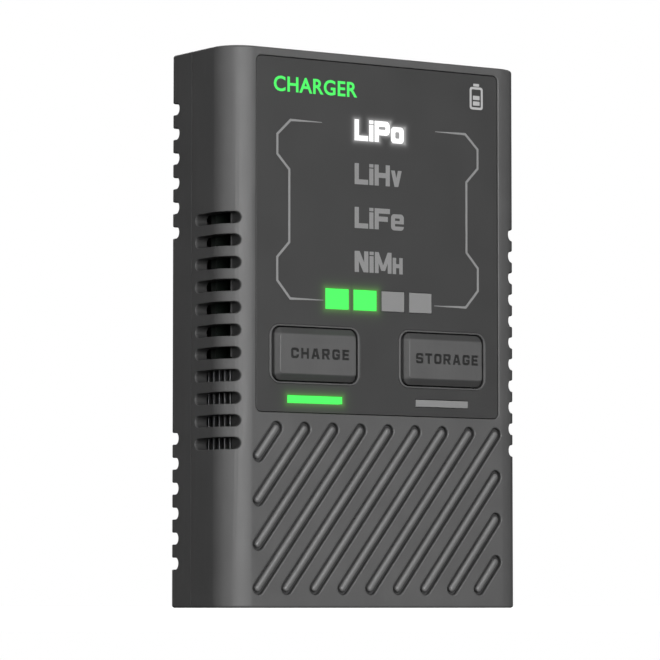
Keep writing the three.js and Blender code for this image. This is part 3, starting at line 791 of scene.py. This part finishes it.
# the painted glow's tint, strength and fall-off round the lit windows, and round the lit name
panelGlow = dict(
    tint=(0.30, 1.0, 0.10, 1), power=0.2, spread=0.5, textPower=0.3, textSpread=0.3
)
textHalos = [  # the lit name's strokes: left, low, width, height
    (-5.25, 82.75, 0.9, 3.75), (-5.25, 82.75, 2.9, 0.9), (-2.1, 82.75, 0.9, 3.75),
    (-0.8, 82.75, 0.9, 3.75), (-0.8, 84.0, 3.3, 2.5), (2.8, 82.75, 2.8, 2.9),
]


def panelHalos():
    halos = []
    for node in litNodes:
        low, high = nodeBox(node)
        middle, half = (low + high) / 2, (high - low) / 2
        light = (panelGlow["tint"], panelGlow["power"], panelGlow["spread"])
        halos.append((middle.x, middle.z, half.x, half.z, *light))
    for left, low, width, height in textHalos:
        light = ((1, 1, 1, 1), panelGlow["textPower"], panelGlow["textSpread"])
        halos.append((left + width / 2, low + height / 2, width / 2, height / 2, *light))
    return halos


panelFinish = panelPlastic(panelHalos())
# the panel's rounded front edges are a lighter grey than the plate: a painted highlight
panelEdgeHighlight = mouldedPlastic("panel edge", grey(84), 0.42, grainDepth=0.006)


def buildPanel():
    outline = roundedRect(0, panelMiddle.z, panelSize.x, panelSize.z, panel["radius"])
    plate = prism(outline, "y", panelFace, panelBack, "controlPanel")
    for side in buttonNames.values():
        ring = buttonOutline(side, "ring", panel["ringGap"])
        cut(plate, prism(ring, "y", panelFace - past, panelBack + past))
    for node in statusWindows:
        cut(plate, windowTool(node, windowGaps["status"]))
    for node in windowNodes:
        cut(plate, windowTool(node, windowGaps["level"]))
    soften(plate, panel["edge"], lambda point: point.y < panelFace + rounding["level"] / 2)
    return fit(plate, [panelFinish, panelEdgeHighlight], ["control_panel"])


buildPanel()
print("control panel made")

windowLook = dict(  # sizes in mm, shades as shares of the colour
    blotch=1.6, spread=(0.94, 1.0), shades=(0.8, 1.0), glossNoise=(0.8, 3), gloss=(0.28, 0.4),
    grain=0.2, grainDepth=0.004, unlit=0.25,
)
printLook = dict(
    blotch=0.25, spread=(0.0, 1.0), shades=(0.94, 1.04), glossNoise=(1.1, 2), gloss=(0.4, 0.55),
    grain=0.18, grainDepth=0.004, unlit=0.3,
)


def markPlastic(name, colour, look, lit=0.0):
    n = Nodes(name)
    blotch = n.between(n.noise(look["blotch"], 3), *look["spread"])
    tone = n.mix(blotch, *(shadeOf(colour, by) for by in look["shades"]))
    gloss = n.between(n.noise(*look["glossNoise"]), *look["gloss"])
    n.set(Roughness=gloss, Normal=n.bump(n.noise(look["grain"]), look["grainDepth"], 0.5))
    if lit:
        base = shadeOf(colour, look["unlit"])
        return n.set(Base_Color=base, Emission_Color=tone, Emission_Strength=lit)
    return n.set(Base_Color=tone)


litWindow = markPlastic("lit window", green, windowLook, 1.0)
unlitWindow = markPlastic("unlit window", grey(152), windowLook)
windowEdge = 0.08


def buildWindow(node):
    low, high = nodeBox(node)
    lens = grownBlock(low, high, name=node.replace("_", "") + "Lens")
    onFace = low.y + rounding["level"] / 2
    soften(lens, windowEdge, lambda point: point.y < onFace, edgeFinish=False)
    lit = node in litNodes
    finish = litWindow if lit else unlitWindow
    return fit(lens, [finish], [node])


for node in windowNodes + statusWindows:
    buildWindow(node)
print("windows made")

printLayer = dict(proud=0.02, sunk=0.03, edge=0.012)
printLevels = (panelFace - printLayer["proud"], panelFace + printLayer["sunk"])

greyPrint = markPlastic("grey print", grey(152), printLook)
# the white and green print glow by emission: a painted glow
whiteGlowPrint = markPlastic("white glowing print", (0.8, 0.8, 0.8, 1), printLook, 0.35)
greenGlowPrint = markPlastic("green glowing print", (0.076, 0.87, 0.133, 1), printLook, 0.9)
litPrint = markPlastic("lit name", (1, 1, 1, 1), printLook, 1.0)

stroke = 0.24  # share of the capital height
lowerCase = 0.775  # small letters' share of it


# Each letter is drawn in a box one unit tall: its width, then its strokes in the order they are
# made. A bar and a ring with round corners give left, low, right, high; a slant gives its foot,
# its head and its width; a shape gives its corners. A cut is taken away, and a stroke apart
# stands by itself.
bowl = [("ring", 0, 0, 0.88, 1, 0.25), ("cut ring", 0.27, 0.24, 0.61, 0.76, 0.07)]
smallBowl = ("ring", 0, 0, 0.74, lowerCase, 0.18)
stem, wideStem = ("bar", 0, 0, stroke, 1), ("bar", 0, 0, 0.27, 1)
letterForms = {
    "L": (0.77, [stem, ("bar", 0, 0, 0.77, stroke)]),
    "i": (stroke, [("bar", 0, 0, stroke, 0.79), ("apart bar", 0, 0.84, stroke, 1)]),
    "P": (0.88, [
        ("ring", 0, 0.33, 0.88, 1, 0.22), ("cut ring", stroke, 0.6, 0.63, 0.74, 0.05), stem,
    ]),
    "F": (0.88, [
        stem, ("bar", 0, 1 - stroke, 0.88, 1), ("bar", 0, 0.38, 0.76, 0.38 + stroke),
    ]),
    "H": (0.88, [
        stem, ("bar", 0.64, 0, 0.88, 1), ("bar", 0, 0.38, 0.88, 0.38 + stroke),
    ]),
    "o": (0.74, [smallBowl, ("cut ring", 0.25, 0.23, 0.49, lowerCase - 0.23, 0.06)]),
    "e": (0.74, [
        smallBowl, ("cut bar", 0.23, 0.46, 0.5, lowerCase - 0.2),
        ("cut bar", 0.23, 0.19, 0.9, 0.31),
    ]),
    "v": (0.62, [("slant", 0.2, 0, 0, lowerCase, 0.22), ("slant", 0.2, 0, 0.4, lowerCase, 0.22)]),
    "h": (0.58, [
        ("bar", 0, 0, 0.2, lowerCase), ("bar", 0.38, 0, 0.58, lowerCase),
        ("bar", 0, 0.29, 0.58, 0.29 + 0.19),
    ]),
    "N": (0.78, [stem, ("bar", 0.54, 0, 0.78, 1), ("slant", 0.5, 0, 0, 1, 0.28)]),
    "M": (0.96, [
        ("bar", 0, 0, 0.22, 1), ("bar", 0.74, 0, 0.96, 1),
        ("slant", 0.37, 0.12, 0.0, 1, 0.22), ("slant", 0.37, 0.12, 0.74, 1, 0.22),
    ]),
    "O": (0.88, bowl),
    "C": (0.88, bowl + [("cut bar", 0.5, 0.38, 1, 0.62)]),
    "G": (0.88, bowl + [("cut bar", 0.5, 0.53, 1, 0.66), ("bar", 0.44, 0.36, 0.86, 0.55)]),
    "A": (0.95, [
        ("shape", (0, 0), (0.95, 0), (0.67, 1), (0.28, 1)),
        ("cut shape", (0.28, -0.1), (0.67, -0.1), (0.61, 0.2), (0.34, 0.2)),
        ("cut shape", (0.4, 0.41), (0.55, 0.41), (0.5, 0.7), (0.45, 0.7)),
    ]),
    "R": (0.9, [
        ("ring", 0, 0.36, 0.87, 1, 0.2), ("cut ring", 0.27, 0.57, 0.6, 0.79, 0.05),
        wideStem, ("slant", 0.6, 0, 0.34, 0.45, 0.3),
    ]),
    "E": (0.78, [
        wideStem, ("bar", 0, 0, 0.78, 0.23),
        ("bar", 0, 0.39, 0.72, 0.61), ("bar", 0, 0.77, 0.78, 1),
    ]),
    "S": (0.86, [
        ("ring", 0, 0.39, 0.86, 1, 0.2), ("cut bar", 0.27, 0.61, 0.59, 0.78),
        ("cut bar", 0.5, 0.58, 1, 0.69), ("ring", 0, 0, 0.86, 0.61, 0.2),
        ("cut bar", 0.27, 0.22, 0.59, 0.39), ("cut bar", -0.1, 0.31, 0.3, 0.42),
    ]),
    "T": (0.86, [("bar", 0, 0.77, 0.86, 1), ("bar", 0.295, 0, 0.565, 0.9)]),
}


def strokeOutline(kind, numbers, x, z, size):
    if kind == "ring":
        left, low, right, high, radius = numbers
        return roundedRect(
            x + size * (left + right) / 2, z + size * (low + high) / 2, size * (right - left),
            size * (high - low), size * radius, 5,
        )
    corners = numbers
    if kind == "bar":
        left, low, right, high = numbers
        corners = ((left, low), (right, low), (right, high), (left, high))
    if kind == "slant":
        footX, footZ, headX, headZ, wide = numbers
        corners = ((footX, footZ), (footX + wide, footZ), (headX + wide, headZ), (headX, headZ))
    return [(x + size * a, z + size * b) for a, b in corners]


def letters(word, x, z, size, gap, levels):  # the word's letters as separate solids
    made = []
    for letter in word:
        width, strokes = letterForms[letter]
        solid = None
        for kind, *numbers in strokes:
            outline = strokeOutline(kind.split()[-1], numbers, x, z, size)
            if "cut" in kind:
                cut(solid, prism(outline, "y", levels[0] - overlap, levels[1] + overlap))
            elif "apart" in kind or solid is None:
                made.append(prism(outline, "y", *levels))
                solid = solid or made[-1]
            else:
                add(solid, prism(outline, "y", *levels))
        x += width * size + gap
    return joined(made, "letters")


def letterGaps(word, x, size, gap):  # where the gaps between letters lie
    places = []
    for letter in word[:-1]:
        x += letterForms[letter][0] * size + gap
        places.append(x - gap / 2)
    return places


def wordWidth(word, size, gap):
    widths = [letterForms[letter][0] * size for letter in word]
    return sum(widths) + gap * (len(word) - 1)


names = dict(
    words=("LiPo", "LiHv", "LiFe", "NiMh"), left=-5.25, top=82.75, pitch=7.81, size=3.75, gap=0.24
)


def buildName(row, word):
    level = names["top"] - row * names["pitch"]
    lettering = letters(word, names["left"], level, names["size"], names["gap"], printLevels)
    lettering.name = f"name{word}"
    edge = printLayer["edge"]
    soften(lettering, edge, lambda p: p.y < panelFace, segments=1, edgeFinish=False)
    return fit(lettering, [greyPrint if row else litPrint])


for row, word in enumerate(names["words"]):
    buildName(row, word)
print("battery names made")


# A flat line of changing width along a path, as one outline.
def ribbon(path, widths):
    left, right = [], []
    for i, spot in enumerate(path):
        here = Vector(spot)
        before = (here - Vector(path[i - 1])).normalized() if i else None
        after = (Vector(path[i + 1]) - here).normalized() if i < len(path) - 1 else None
        before, after = before or after, after or before
        way = (before + after).normalized()
        across = Vector((-way.y, way.x))
        reach = widths[i] / 2 / max(0.5, across.dot(Vector((-after.y, after.x))))
        left.append(tuple(here + across * reach))
        right.append(tuple(here - across * reach))
    return left + right[::-1]


bracket = dict(
    path=[
        (-12.2, 85.43), (-18.8, 85.43), (-21.55, 82.8), (-21.55, 79.3), (-19.05, 76.7),
        (-19.05, 63.9), (-21.55, 61.2), (-21.55, 57.1), (-18.85, 54.0), (-11.9, 54.0),
    ],
    width=0.43,
    tip=0.1,
)


def buildBracket(name, side):
    path = [(x * -side, z) for x, z in bracket["path"]]
    widths = [bracket["width"]] * len(path)
    widths[0] = widths[-1] = bracket["tip"]
    line = prism(ribbon(path, widths), "y", *printLevels, name)
    shade(line)
    return fit(line, [greyPrint])


buildBracket("bracketLeft", -1)
buildBracket("bracketRight", 1)

title = dict(
    word="CHARGER", left=-22.3, z=90.35, height=2.75, width=17.6, bold=0.02, spacing=1.05,
    curveSteps=4,
)


def typedMesh(name, word):  # the word in the stock typeface, half a unit thick each way
    data = bpy.data.curves.new(name, "FONT")
    data.body = word
    data.align_x = "CENTER"
    data.size = 1
    data.offset = title["bold"]
    data.space_character = title["spacing"]
    data.resolution_u = title["curveSteps"]
    data.extrude = 0.5
    drawn = placed(name, data)
    bpy.context.view_layer.update()
    graph = bpy.context.evaluated_depsgraph_get()
    mesh = bpy.data.meshes.new_from_object(drawn.evaluated_get(graph))
    bpy.data.objects.remove(drawn)
    with editing(mesh) as form:
        bmesh.ops.remove_doubles(form, verts=form.verts, dist=weld["cut"])
        bmesh.ops.recalc_face_normals(form, faces=form.faces)
    return mesh


def buildTitle():
    mesh = typedMesh("titleWord", title["word"])
    xs = [v.co.x for v in mesh.vertices]
    ys = [v.co.y for v in mesh.vertices]
    tall = title["height"] / (max(ys) - min(ys))
    wide = title["width"] / (max(xs) - min(xs))
    middle, foot = (max(xs) + min(xs)) / 2, min(ys)
    x = title["left"] + title["width"] / 2
    near, far = printLevels
    for v in mesh.vertices:
        v.co = (
            x + (v.co.x - middle) * wide,
            near if v.co.z > 0 else far,
            title["z"] + (v.co.y - foot) * tall,
        )
    word = placed("titleWord", mesh)
    shade(word)
    return fit(word, [greenGlowPrint])


buildTitle()

emblem = dict(
    x=21.3, z=92.1, width=2.9, height=4.1, radius=0.5, innerRadius=0.2, line=0.42, cap=1.3,
    capHeight=0.5, capGap=0.12, bars=2, barHeight=0.75, barGap=0.28, barRadius=0.08,
    barLow=0.32, barBeside=0.3,
)


def buildEmblem():  # a plain upright battery
    x, z, width, height, line = (emblem[k] for k in ("x", "z", "width", "height", "line"))

    def slab(level, wide, tall, radius, longer=0.0):
        outline = roundedRect(x, level, wide, tall, radius)
        return prism(outline, "y", printLevels[0] - longer, printLevels[1] + longer)

    outside = slab(z, width, height, emblem["radius"])
    cut(outside, slab(z, width - 2 * line, height - 2 * line, emblem["innerRadius"], overlap))
    capLevel = z + height / 2 + emblem["capHeight"] / 2 + emblem["capGap"]
    made = [outside, slab(capLevel, emblem["cap"], emblem["capHeight"], emblem["capGap"])]
    wide, barHeight = width - 2 * line - 2 * emblem["barBeside"], emblem["barHeight"]
    lowest = z - height / 2 + line + emblem["barLow"] + barHeight / 2
    for i in range(emblem["bars"]):
        level = lowest + i * (barHeight + emblem["barGap"])
        made.append(slab(level, wide, barHeight, emblem["barRadius"]))
    battery = joined(made, "batteryEmblem")
    shade(battery)
    return fit(battery, [whiteGlowPrint])


buildEmblem()
print("panel print made")

nameCut = dict(
    depth=0.2, height=1.85, z=43.48, gap={"charge": 0.49, "storage": 0.38},
    shift={"charge": 0.37, "storage": 0.27},
)
# painted shade on the button slopes: how dark it gets, and how far inside and outside the face's
# edge it starts and is full
slopeShading = dict(most=0.42, inside=0.05, outside=0.25)


def slopeShade(n):  # painted shade on the upper and lower slopes of a button
    axes = n.add("ShaderNodeSeparateXYZ", {"Vector": n.spot}).outputs
    away = n.math("ABSOLUTE", n.math("SUBTRACT", axes["Z"], buttons["z"] * mm))
    edge = buttons["face"][1] / 2
    start, full = (edge - slopeShading["inside"]) * mm, (edge + slopeShading["outside"]) * mm
    return n.between(away, 0, slopeShading["most"], start, full)


capFinish = dict(colour=grey(98), roughness=0.48)
capPlastic = mouldedPlastic("button plastic", **capFinish, shadeMask=slopeShade)
capEdge = mouldedPlastic("button edge", **capFinish, rub=0.08, shadeMask=slopeShade)
inkDark = mouldedPlastic("engraved name", grey(40), 0.6, rub=0)


def buildButton(name, side):
    low, high = nodeBox(f"{name}_button")
    face = low.y
    flangeFront = frontInside + bite
    flangeBack = flangeFront + buttons["flangeThick"]
    steps = ((flangeFront + buttons["flangeThick"] / 2, "base"), (casing["front"], "base"),
             (face, "face"))
    rings = [place["y"](buttonOutline(side, part), level) for level, part in steps]
    cap = stack(f"{name}Button", rings)
    word, size, gap = name.upper(), nameCut["height"], nameCut["gap"][name]
    left = side * buttons["x"] + nameCut["shift"][name] - wordWidth(word, size, gap) / 2
    spots = [left - gap] + letterGaps(word, left, size, gap) + [2 * side * buttons["x"] - left]
    divide(cap, spots, [nameCut["z"] - gap, nameCut["z"] + size + gap])
    cutLevels = (face - 3 * overlap, face + nameCut["depth"])
    cut(cap, letters(word, left, nameCut["z"], size, gap, cutLevels))
    flange = roundedRect(side * buttons["x"], buttons["z"], *buttons["flange"])
    add(cap, prism(flange, "y", flangeFront, flangeBack))
    post = circle(side * buttons["x"], buttons["z"], buttons["postRadius"])
    add(cap, prism(post, "y", flangeBack - bite, high.y))
    for polygon in cap.data.polygons:
        depth = polygon.center.y - face
        cutFloor = abs(polygon.normal.y) > 0.9 and abs(depth - nameCut["depth"]) < overlap
        polygon.material_index = 2 if cutFloor else 0
    width, height, radius = buttons["face"]
    near = rounding["level"]

    def outerEdge(point):
        beside = abs(point.x - side * buttons["x"]) > width / 2 - near - radius
        above = abs(point.z - buttons["z"]) > height / 2 - near - radius
        onStep = any(abs(point.y - level) < near for level in (casing["front"], face))
        return (beside or above) and onStep

    finishes = [capPlastic, capEdge, inkDark]
    for finish in finishes:
        cap.data.materials.append(finish)
    soften(cap, buttons["edge"], outerEdge, angle=20, merge=False)
    return fit(cap, finishes, [f"{name}_button"], f"{name}_button")


for name, side in buttonNames.items():
    buildButton(name, side)
print("buttons made")


# For pieces that keep their frame shape: cleaner faces and rounded edges.
def refine(node, finish, width, segments=2, angle=30):
    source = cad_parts[node]
    mesh = source.data.copy()
    for corner in mesh.vertices:
        corner.co /= mm
    piece = placed(node.replace("_", "-"), mesh)
    mesh.materials.clear()
    with editing(mesh) as form:
        bmesh.ops.remove_doubles(form, verts=form.verts, dist=weld["frameNode"])
    soften(piece, width, None, segments, angle, edgeFinish=False)
    return fit(piece, [finish], [node])


def simpleFinish(name, colour, roughness, metallic=0.0, size=0.4, depth=0.004):
    n = Nodes(name)
    tone = n.mix(
        n.between(n.noise(size * 8, 3), 0, 1), shadeOf(colour, 0.92), shadeOf(colour, 1.06)
    )
    return n.set(
        Base_Color=tone,
        Metallic=metallic,
        Roughness=n.between(n.noise(size * 3, 4), roughness - 0.06, roughness + 0.06),
        Normal=n.bump(n.noise(size, 3), depth, 0.6),
    )


socketWhite = simpleFinish("socket nylon", grey(226, 0.03), 0.42)
socketYellow = simpleFinish("power socket nylon", (0.72, 0.43, 0.03, 1), 0.42)
chipBlack = simpleFinish("moulded component", grey(42), 0.5)
boardMask = simpleFinish("board mask", (0.005, 0.008, 0.006, 1), 0.4, depth=0.01)
brightSteel = simpleFinish("bright steel", (0.62, 0.62, 0.63, 1), 0.28, 1.0)
goldPlate = simpleFinish("gold plate", (0.83, 0.60, 0.27, 1), 0.25, 1.0)
# far darker than aluminium's own colour: painted shade for the inside of the casing
shadedAluminium = simpleFinish("shaded aluminium", (0.2, 0.2, 0.205, 1), 0.42, 1.0)
ferriteBlack = simpleFinish("ferrite", grey(58), 0.7)
sleeveBlack = simpleFinish("capacitor sleeve", (0.02, 0.022, 0.035, 1), 0.3)
lampWhite = simpleFinish("lamp package", (0.78, 0.77, 0.72, 1), 0.4)
milkSheet = simpleFinish("milk sheet", (0.75, 0.75, 0.72, 1), 0.5)
rubberBlack = simpleFinish("rubber", grey(38), 0.85, depth=0.02)

edges = dict(balance=0.1, power=0.15, strip=0.2, heatSink=0.06, pin=0.04)
for node in balanceSockets:
    refine(node, socketWhite, edges["balance"])
refine("power_socket_housing", socketYellow, edges["power"])
for node in stripNodes:
    refine(node, rubberBlack, edges["strip"], angle=50)
refine("heat_sink", shadedAluminium, edges["heatSink"])
for cells, pins in ((2, 3), (3, 4), (4, 5)):
    for i in range(pins):
        refine(f"balance_{cells}s_pin_{i + 1}", brightSteel, edges["pin"])
print("sockets made")

lightShield = dict(wall=0.8, gap=0.05, edge=0.1)


# A black frame between the diffuser and the board, which keeps the lamps' light in.
def buildLightShield():
    low, high = nodeBox("legend_diffuser")
    board = nodeBox("main_board")[0].y
    wall, gap = lightShield["wall"], lightShield["gap"]
    levels = (high.y + gap, board - gap)
    shield = block((low.x, high.x), levels, (low.z, high.z), "lightShield")
    across, along = (low.x + wall, high.x - wall), (low.z + wall, high.z - wall)
    cut(shield, block(across, (levels[0] - past, levels[1] + past), along))
    soften(shield, lightShield["edge"], edgeFinish=False)
    return fit(shield, [chipBlack])


buildLightShield()
print("light shield made")

switches = [f"{name}_switch_" for name in buttonNames]
kept = [  # the nodes that take a finish as they are
    (boardMask, ["main_board"]),
    (sleeveBlack, ["capacitor_1", "capacitor_2"]),
    (ferriteBlack, ["power_inductor"]),
    (chipBlack, ["controller_chip", "power_switch_chip", "usb_socket_tongue"]),
    (chipBlack, [start + "body" for start in switches]),
    (goldPlate, ["power_contact_1", "power_contact_2"]),
    (brightSteel, ["usb_socket_shell"] + screwNodes),
    (milkSheet, ["legend_diffuser"]),
    (lampWhite, [start + "plunger" for start in switches]),
    (lampWhite, [f"{name}_status_led" for name in buttonNames]),
    (lampWhite, [f"{kind}_led_{i}" for kind in ("level", "mode") for i in (1, 2, 3, 4)]),
]
for finish, nodes in kept:
    for node in nodes:
        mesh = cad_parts[node].data
        if not mesh.materials:
            mesh.materials.append(finish)
        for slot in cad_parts[node].material_slots:
            slot.material = finish
print("inner pieces finished")

studio = dict(
    floor=6.0,
    floorDrop=0.05,  # mm, a hair under the charger's lower end
    around=0.03,
    lights={
        "key": dict(azimuth=-12, elevation=6, distance=0.9, size=(0.5, 0.35), power=5.5),
        "left": dict(azimuth=-35, elevation=5, distance=0.9, size=(0.35, 0.4), power=1.8),
        "side": dict(azimuth=-75, elevation=8, distance=0.9, size=(0.35, 0.4), power=0.9),
        "spark": dict(azimuth=2, elevation=26, distance=0.9, size=(0.2, 0.2), power=0.6),
        "behind": dict(azimuth=150, elevation=25, distance=1.1, size=(0.7, 0.5), power=7.0),
        "above": dict(azimuth=150, elevation=75, distance=1.1, size=(0.8, 0.8), power=3.0),
    },
)


def addFloor():
    reach = studio["floor"] / 2
    level = -studio["floorDrop"] * mm
    corners = ((-reach, -reach), (reach, -reach), (reach, reach), (-reach, reach))
    floor = meshPiece("floor", [(x, y, level) for x, y in corners], [(0, 1, 2, 3)])
    n = Nodes("floor")
    n.set(Base_Color=(0.8, 0.8, 0.8, 1), Roughness=0.9, Emission_Color=(1, 1, 1, 1),
          Emission_Strength=1.0)
    floor.data.materials.append(n.material)
    floor.visible_diffuse = False
    floor.visible_glossy = False


def addBackground():  # white behind the object, dimmer where it lights it
    world = bpy.data.worlds.new("studio")
    bpy.context.scene.world = world
    world.use_nodes = True
    tree = world.node_tree
    tree.nodes.clear()
    seen, pick, dim, bright, out = (
        tree.nodes.new("ShaderNode" + kind)
        for kind in ("LightPath", "MixShader", "Background", "Background", "OutputWorld")
    )
    dim.inputs["Strength"].default_value = studio["around"]
    bright.inputs["Color"].default_value = (1, 1, 1, 1)
    tree.links.new(seen.outputs["Is Camera Ray"], pick.inputs[0])
    tree.links.new(dim.outputs[0], pick.inputs[1])
    tree.links.new(bright.outputs[0], pick.inputs[2])
    tree.links.new(pick.outputs[0], out.inputs["Surface"])


def addLights():
    target = (cadBox[0] + cadBox[1]) / 2
    for name, light in studio["lights"].items():
        data = bpy.data.lights.new(name, "AREA")
        data.shape = "RECTANGLE"
        data.size, data.size_y = light["size"]
        data.energy = light["power"]
        lamp = placed(name, data)
        turn, rise = math.radians(light["azimuth"]), math.radians(light["elevation"])
        out = Vector(
            (math.sin(turn) * math.cos(rise), -math.cos(turn) * math.cos(rise), math.sin(rise))
        )
        lamp.location = target + out * light["distance"]
        lamp.rotation_euler = out.to_track_quat("Z", "Y").to_euler()


addFloor()
addBackground()
addLights()
bpy.context.scene.view_settings.view_transform = "Standard"
print("studio lit")
